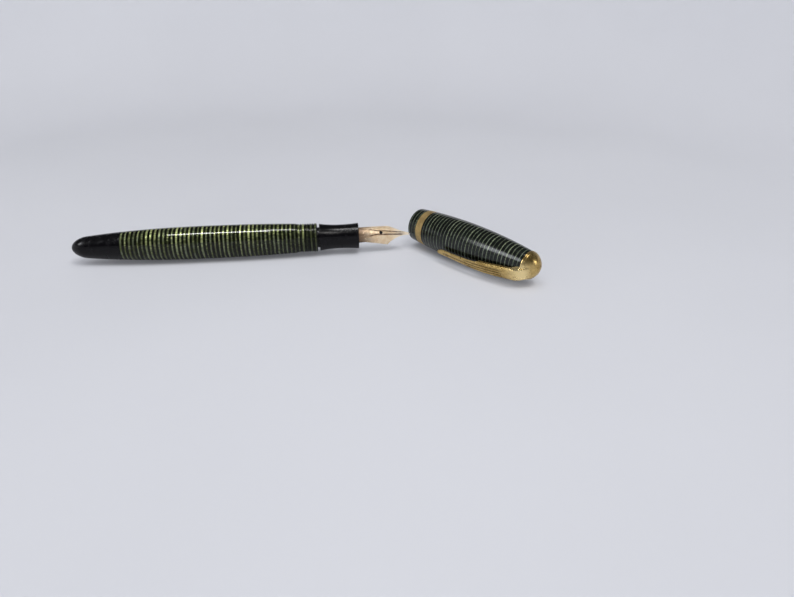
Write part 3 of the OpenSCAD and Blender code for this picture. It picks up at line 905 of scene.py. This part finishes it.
def bush_threaded():
    """Bush whose rear end carries the blind cap's thread."""
    rows = [(BUSH_R, x) for x in between(BUSH_REAR_X + 0.3, BLIND_CAP_LENGTH - 0.1, 80)]
    bore_r = BUTTON_R + 0.05
    ends = [
        (BUSH_R, BUSH_FRONT_X), (bore_r, BUSH_FRONT_X), (bore_r, BUSH_REAR_X),
        (BUSH_R - 0.3, BUSH_REAR_X),
    ]
    first, last = BUSH_REAR_X + 0.4, BLIND_CAP_LENGTH - 0.3
    cut = screw_thread(first, last, BUSH_THREAD_PITCH, BUSH_THREAD_DEPTH, BUSH_R)
    piece = revolve("bush_threaded", soften(rows + ends, 0.08), ON_PEN, DULL_RUBBER, 128, shift=cut)
    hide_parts("button_bush")
    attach(piece, "barrel")


# ------------------------------------ cap


def cap_turned():
    """Shell of the cap with its mouth's thread, its bores and the bed of its band."""
    lip = MOUTH_LIP
    lip_arc = [(cap_r(lip) - lip + lip * math.sin(a), lip * (1 - math.cos(a)))
               for a in between(0, math.pi / 2, 8)]
    bed_r = cap_r(BAND_START) - BAND_BED
    band_end = BAND_START + BAND_WIDTH
    before_band = [(cap_r(s), s) for s in between(lip + 0.3, BAND_START, 8)]
    bed = [(bed_r, BAND_START), (bed_r, band_end)]
    past_band = [(cap_r(s), s) for s in between(band_end, CAP_SHELL_LENGTH, 90)]
    first, last = MOUTH_THREAD
    shoulder_s = INNER_CAP_START - 0.1
    inside = [
        (SCREW_HOLE_R, CAP_SHELL_LENGTH), (SCREW_HOLE_R, WASHER_END), (INNER_BORE_R, WASHER_END),
        (INNER_BORE_R, shoulder_s), (MOUTH_R, shoulder_s), (MOUTH_R, last + 0.2),
    ]
    thread_rows = [(MOUTH_R, s) for s in between(last, first, 78)]
    mouth = [(MOUTH_R, first - 0.4), (MOUTH_R + 0.2, 0.1)]
    outline = lip_arc + before_band + bed + past_band + inside + thread_rows + mouth
    crests = screw_thread(first - 0.1, last + 0.1, THREAD_PITCH, MOUTH_THREAD_DEPTH, MOUTH_R)

    def female(r, z, angle):
        return -crests(r, z, angle)

    piece = revolve("cap_turned", soften(outline, 0.06), ON_CAP, CAP_STRIPE, 176, shift=female)
    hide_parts("cap_shell")
    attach(piece, "cap")


def band_chased():
    """Band with two plain edge beads and a chased lattice between them."""
    gap = 0.02
    first, last = BAND_START + gap, BAND_START + BAND_WIDTH - gap
    seat_r = cap_r(BAND_START) - BAND_BED + gap
    line_depth, line_place, line_width = 0.07, 0.14, 0.025
    cut_depth, cut_width, slant = 0.055, 0.11, 2.2
    sunk = 0.012

    def chasing(r, z, angle):
        if r < cap_r(z) - 0.01:
            return 0
        t = (z - first) / (last - first)
        edge = min(t, 1 - t)
        lines = -line_depth * bell((edge - line_place) / line_width)
        field = smooth((edge - line_place - 0.03) / 0.03)
        turns = angle / (2 * math.pi) * BAND_LATTICE
        up = abs((turns + t * slant) % 1 - 0.5)
        down = abs((turns - t * slant) % 1 - 0.5)
        lattice = -cut_depth * max(bell(up / cut_width), bell(down / cut_width))
        return lines + field * lattice - sunk

    face = [(cap_r(s), s) for s in between(first, last, 56)]
    outline = [(seat_r, first)] + face + [(seat_r, last)]
    piece = revolve("band_chased", outline, ON_CAP, BAND_GOLD, 12 * BAND_LATTICE, shift=chasing)
    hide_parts("cap_band")
    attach(piece, "cap")


def clip_outer_r(s):
    """Distance of the clip's outer face from the cap's axis."""
    bow_start, bow_length = 22.0, 30.0
    flare_end, flare_length = CLIP_TIP_S + 2.3, 3.0
    t = min(1.0, max(0.0, (s - bow_start) / bow_length))
    bow = CLIP_BOW * math.sin(math.pi * t) ** 1.5
    flare = 0.8 * (max(0, flare_end - s) / flare_length) ** 2
    return cap_r(s) + CLIP_STAND + bow + flare


def root_outer_r(s):
    """Distance of the root's outer face, which bends over the side of the dome."""
    u = (s - CLIP_HINGE_S) / (CLIP_ROOT_END_S - CLIP_HINGE_S)
    return clip_outer_r(CLIP_HINGE_S) * (1 - u**CLIP_ROOT_POWER) ** (1 / CLIP_ROOT_POWER)


def clip_half_width(s):
    widening = CLIP_ROOT_HALF_WIDTH - CLIP_TIP_HALF_WIDTH
    return CLIP_TIP_HALF_WIDTH + widening * smooth((s - CLIP_TIP_S) / 30)


def strap_ring(r, s, lean, w, t):
    """Rounded cross-section of the clip: flat under, crowned on its outer face."""
    crown, count = 0.16, 28
    ring = []
    for k in range(count):
        a = 2 * math.pi * k / count
        across = math.copysign(abs(math.cos(a)) ** 0.45, math.cos(a))
        up = math.copysign(abs(math.sin(a)) ** 0.55, math.sin(a)) * t / 2
        if up > 0:
            up -= crown * across * across
        ring.append((r + up * math.cos(lean), across * w, s + up * math.sin(lean)))
    return ring


def strap():
    """Strap of the clip and the root that carries it over the dome's side."""
    half = CLIP_SHEET / 2
    tip_length, thinnest = 2.4, 0.45
    rings = []
    tip_rows = between(CLIP_TIP_S, CLIP_TIP_S + 2.2, 12)
    for s in tip_rows + between(CLIP_TIP_S + 2.7, CLIP_HINGE_S - 0.2, 56):
        lean = math.atan(clip_outer_r(s - 0.5) - clip_outer_r(s + 0.5))
        rounding = math.sqrt(1 - (1 - min(1, (s - CLIP_TIP_S + 0.15) / tip_length)) ** 2)
        thick = CLIP_SHEET * (thinnest + (1 - thinnest) * rounding)
        half_width = clip_half_width(s) * rounding
        rings.append(strap_ring(clip_outer_r(s) - half, s, lean, half_width, thick))
    reach = CLIP_ROOT_END_S - 0.4 - CLIP_HINGE_S
    step, thickening = 0.05, 0.9
    for t in between(0.05, 1, 26):
        s = CLIP_HINGE_S + reach * math.sin(t * math.pi / 2)
        lean = math.atan2(root_outer_r(s - step) - root_outer_r(s), step)
        thick = CLIP_SHEET + thickening * t * t
        r = root_outer_r(s) - thick / 2 * math.cos(lean)
        middle_s = s - thick / 2 * math.sin(lean)
        rings.append(strap_ring(r, middle_s, lean, CLIP_ROOT_HALF_WIDTH, thick))
    return skin(rings)


def wing(side):
    """Folded lip along the inner edge of the clip, which runs into the dome."""
    first, last = CLIP_LIP
    fold_depth, root_depth = 1.05, 1.6
    rings = []
    for s in between(first, last, 48):
        w = clip_half_width(min(s, CLIP_HINGE_S))
        crest = clip_outer_r(s) if s < CLIP_HINGE_S else root_outer_r(s)
        top = crest - CLIP_SHEET * 0.7
        drop = fold_depth * smooth((s - first) / 1.4) + root_depth * smooth((s - 49) / 3.5)
        inner, outer = w - 0.45, w + 0.05
        ring = [(top, inner), (top, outer), (top - drop, outer + 0.12), (top - drop, outer - 0.3)]
        rings.append([(r, side * y, s) for r, y in ring])
    return skin(rings)


def dome_shell():
    """Dome on the cap's end, a little fuller than an ellipse and closed below."""
    foot, segments = CAP_SHELL_LENGTH + 0.04, 120
    turns = [2 * math.pi * k / segments for k in range(segments)]
    rings = []
    for a in between(0, math.radians(88), 40):
        r = DOME_R * math.cos(a) ** (2 / DOME_POWER)
        s = foot + (DOME_HEIGHT - 0.02) * math.sin(a) ** (2 / DOME_POWER)
        rings.append([(r * math.cos(b), r * math.sin(b), s) for b in turns])
    return skin(rings)


def evaluated(piece):
    """The piece's mesh with its modifiers applied."""
    graph = bpy.context.evaluated_depsgraph_get()
    mesh = bpy.data.meshes.new_from_object(piece.evaluated_get(graph))
    piece.modifiers.clear()
    piece.data = mesh
    return mesh


def ridge(distance, width):
    """1 on a line, falling smoothly to 0 beside it."""
    return np.exp(-((distance / width) ** 2))


def ramp(value, low):
    """0 up to low, rising to 1 over the next 0.3."""
    return np.clip((value - low) / 0.3, 0, 1)


def soft_window(along, low, high, fade):
    """1 from low to high, with a smooth fade inside each end."""
    up = np.clip((along - low) / fade, 0, 1)
    down = np.clip((high - along) / fade, 0, 1)
    return up * up * (3 - 2 * up) * down * down * (3 - 2 * down)


def pressed_depth(at, facing):
    """How deep the pressed lines are, in mm, at the points of the clip and the dome. at and
    facing are the points and their normals in the cap's frame."""
    radial, across, along = at.T
    facing_out, facing_side, facing_end = facing.T
    # Flutes on the strap's outer face
    flutes = 0.14 * ridge(across, 0.3) * soft_window(along, *FRONT_FLUTE, FRONT_FLUTE_FADE)
    for middle in (-FLUTE_SPACING, 0.0, FLUTE_SPACING):
        shown = soft_window(along, *REAR_FLUTES, REAR_FLUTES_FADE)
        flutes += 0.2 * ridge(across - middle, 0.27) * shown
    # Line between the strap and its folded lip
    rows = between(15.0, 54.5, 79)
    outer_r = np.interp(along, rows, [clip_outer_r(s) for s in rows])
    shown = ramp(np.abs(facing_side), 0.5) * soft_window(along, 35.8, 51.5, 1.0)
    fold = 0.14 * ridge(outer_r - radial - 0.5, 0.13) * shown
    # Line round the foot of the dome
    on_dome = (np.hypot(radial, across) < DOME_R + 0.3) * ramp(-facing_end, -0.75)
    foot = 0.04 * ridge(along - CAP_SHELL_LENGTH - 0.9, 0.2) * on_dome
    return flutes * ramp(facing_out, 0.45) + fold + foot


def clip_and_dome():
    """Clip, its root and the dome: one flowing piece of plated brass."""
    points, faces = join_solids([strap(), wing(1), wing(-1), dome_shell()])
    piece = new_piece("clip_and_dome", points, faces, ON_CAP, TRIM_GOLD)
    merge = piece.modifiers.new("merge", "REMESH")
    merge.mode = "VOXEL"
    merge.voxel_size = 0.08 * MM
    ease = piece.modifiers.new("ease", "SMOOTH")
    ease.factor = 0.5
    ease.iterations = 22
    mesh = evaluated(piece)
    count = len(mesh.vertices)
    at, facing = np.empty(count * 3), np.empty(count * 3)
    mesh.vertices.foreach_get("co", at)
    mesh.vertex_normals.foreach_get("vector", facing)
    at, facing = at.reshape(-1, 3), facing.reshape(-1, 3)
    turn = np.array(ON_CAP.to_3x3())
    depth = pressed_depth(at @ turn / MM, facing @ turn)
    at = at - facing * (depth * MM)[:, None]
    mesh.vertices.foreach_set("co", at.ravel())
    mesh.update()
    mesh.shade_smooth()
    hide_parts("clip", "clip_root", "dome")
    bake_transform(piece)


# ------------------------------------ filler and other CAD nodes


def bar_strip():
    """Spring strip of the pressure bar in three lengths. The hook folds up ahead of the
    button, and the other two bow from the barrel's wall to the shoe."""
    hook = [
        (0.3, STRIP_HOOK_X), (0.5, 25.8), (1.2, 27.3), (2.6, 29.5), (3.5, 31.2),
        (STRIP_HEIGHT, 32.6), (STRIP_HEIGHT, STRIP_WALL_X),
    ]
    rear = [(STRIP_HEIGHT, x) for x in between(STRIP_WALL_X, STRIP_MIDDLE_X, 24)]
    front = [(3.4, STRIP_FRONT_WALL_X + 2.0), (3.72, STRIP_FRONT_WALL_X + 1.0)]
    front += [(STRIP_HEIGHT, x) for x in between(STRIP_FRONT_WALL_X, STRIP_MIDDLE_X, 24)]
    to_shoe = ("barrel", "pressure_bar")
    lengths = {
        "bar_strip_hook": (hook, ("button", "barrel"), (STRIP_HOOK_X, STRIP_WALL_X)),
        "bar_strip_rear": (rear, to_shoe, (STRIP_WALL_X, STRIP_WALL_X + 5.5)),
        "bar_strip_front": (front, to_shoe, (STRIP_FRONT_WALL_X - 2.0, STRIP_FRONT_WALL_X - 5.5)),
    }
    half = STRIP_SHEET / 2
    corners = [(-half, -STRIP_HALF_WIDTH), (-half, STRIP_HALF_WIDTH),
               (half, STRIP_HALF_WIDTH), (half, -STRIP_HALF_WIDTH)]
    for name, (path, bodies, span) in lengths.items():
        points, faces = skin([[(x - height, y, along) for x, y in corners] for height, along in path])
        piece = new_piece(name, points, faces, ON_PEN, SPRING_STEEL)
        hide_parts("pressure_bar_strip")
        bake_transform(piece)


def finish_cad_nodes():
    """Materials and softened edges for the CAD nodes that stay as they are."""
    kept = {
        "feed": DULL_RUBBER,
        "filler_button": BUTTON_BRASS,
        "pressure_bar_shoe": SPRING_STEEL,
        "pressure_bar_rivets": BUTTON_BRASS,
        "inner_cap": DULL_RUBBER,
        "clip_screw": SCREW_STEEL,
        "clip_washer": SCREW_STEEL,
    }
    for name, material in kept.items():
        node = frame["nodes"][name]
        node.data.materials.clear()
        node.data.materials.append(material)
        edges = node.modifiers.new("edges", "BEVEL")
        edges.width = 0.05 * MM
        edges.segments = 2
        edges.limit_method = "ANGLE"
        edges.angle_limit = math.radians(40)


# ------------------------------------ stage


def studio_floor():
    """Pale sheet, flat under the pen and rising softly far round it."""
    level, flat, rise, height = -0.02, 255.0, 150.0, 95.0
    outline = [(0, level), (90, level), (180, level)]
    outline += [(flat + rise * t, level + height * t**3) for t in between(0, 1, 24)]
    outline += [(flat + rise + 900, height + 400)]
    floor = revolve("floor", outline, Matrix.Identity(4), paper("pale_sheet"), 96, closed=False)


def soft_light(name, direction, distance, size, power, seen, color=(1, 1, 1), **long):
    """Area light at a distance along a direction from the pen, facing it. seen is the only
    kind of light it gives, "diffuse" or "glossy". A long one has a length and lies along a
    direction."""
    light = bpy.data.lights.new(name, "AREA")
    light.shape = "RECTANGLE"
    light.size = long.get("length", size)
    light.size_y = size
    light.energy = power
    light.color = color
    lamp = bpy.data.objects.new(name, light)
    bpy.context.scene.collection.objects.link(lamp)
    towards = Vector(direction).normalized()
    turn = towards.to_track_quat("Z", "Y").to_matrix()
    if long:
        along = Vector(long["along"])
        x = (along - towards * towards.dot(along)).normalized()
        turn = Matrix((x, towards.cross(x), towards)).transposed()
    lamp.matrix_world = Matrix.Translation(towards * distance) @ turn.to_4x4()
    lamp.visible_glossy = seen == "glossy"
    lamp.visible_diffuse = seen == "diffuse"
    return lamp


def shine_on(lamp, *names):
    """Limits a lamp to the named pieces."""
    lit = bpy.data.collections.new(lamp.name + "_pieces")
    for name in names:
        lit.objects.link(bpy.data.objects[name])
    lamp.light_linking.receiver_collection = lit


def lights():
    """Bright room for soft light, dim in reflections, with lamps that polished faces show."""
    light_from_room, room_in_reflections = 0.17, 0.09
    world = bpy.data.worlds.new("pale_room")
    bpy.context.scene.world = world
    world.use_nodes = True
    tree = world.node_tree
    sky = tree.nodes["Background"]
    sky.inputs["Color"].default_value = (0.80, 0.83, 0.90, 1)
    path = tree.nodes.new("ShaderNodeLightPath")
    strength = tree.nodes.new("ShaderNodeMapRange")
    tree.links.new(path.outputs["Is Glossy Ray"], strength.inputs["Value"])
    strength.inputs["To Min"].default_value = light_from_room
    strength.inputs["To Max"].default_value = room_in_reflections
    tree.links.new(strength.outputs["Result"], sky.inputs["Strength"])
    fill = soft_light("fill", (-0.02, -0.2, 1.0), 0.85, 0.8, 6.9, "diffuse", (0.99, 0.99, 1.0))
    fill.data.use_shadow = False
    soft_light("ceiling", (0.32, -0.3, 1.0), 1.9, 0.5, 6.2, "diffuse", (1.0, 0.99, 0.97))
    tube = soft_light(
        "tube", (-0.21, -0.04, 0.976), 0.5, 0.03, 1.1, "glossy", length=0.15, along=(1, 0, 0),
    )
    shine_on(tube, "barrel_tube", "blind_cap_turned", "section_turned", "nib_pressed")
    soft_light(
        "window", (-0.75, -0.17, 0.62), 1.5, 0.5, 6.5, "glossy", (0.93, 0.96, 1.0),
        length=0.42, along=(0.6, -0.8, 0),
    )
    soft_light("lamp", (0.8, -0.41, 0.44), 1.5, 0.25, 2.2, "glossy")
    soft_light("overhead", (0.01, 0.07, 1.0), 1.5, 0.25, 4.0, "glossy")
    card = soft_light("card", (0.16, -0.46, 0.88), 1.2, 0.3, 2.4, "glossy", (1.0, 0.98, 0.96))
    shine_on(card, "nib_pressed", "tipping_halves", "section_turned")


def camera():
    """Camera at the height, distance and angle from which the pen is seen."""
    data = bpy.data.cameras.new("camera")
    data.sensor_width = CAMERA_SENSOR
    data.lens = CAMERA_LENS
    data.clip_start = 0.01
    data.clip_end = 20.0
    eye = bpy.data.objects.new("camera", data)
    bpy.context.scene.collection.objects.link(eye)
    eye.location = [c * MM for c in CAMERA_PLACE]
    turn = Matrix.Rotation(-CAMERA_YAW, 3, "Z") @ Matrix.Rotation(math.pi / 2 - CAMERA_PITCH, 3, "X")
    eye.rotation_euler = (turn @ Matrix.Rotation(CAMERA_ROLL, 3, "Z")).to_euler()
    bpy.context.scene.camera = eye


bpy.context.scene.view_settings.view_transform = "Standard"
camera()
studio_floor()
barrel_tube()
blind_cap_turned()
section_turned()
nib_pressed()
tipping_halves()
sac_rubber()
bush_threaded()
bar_strip()
cap_turned()
band_chased()
clip_and_dome()
finish_cad_nodes()
lights()
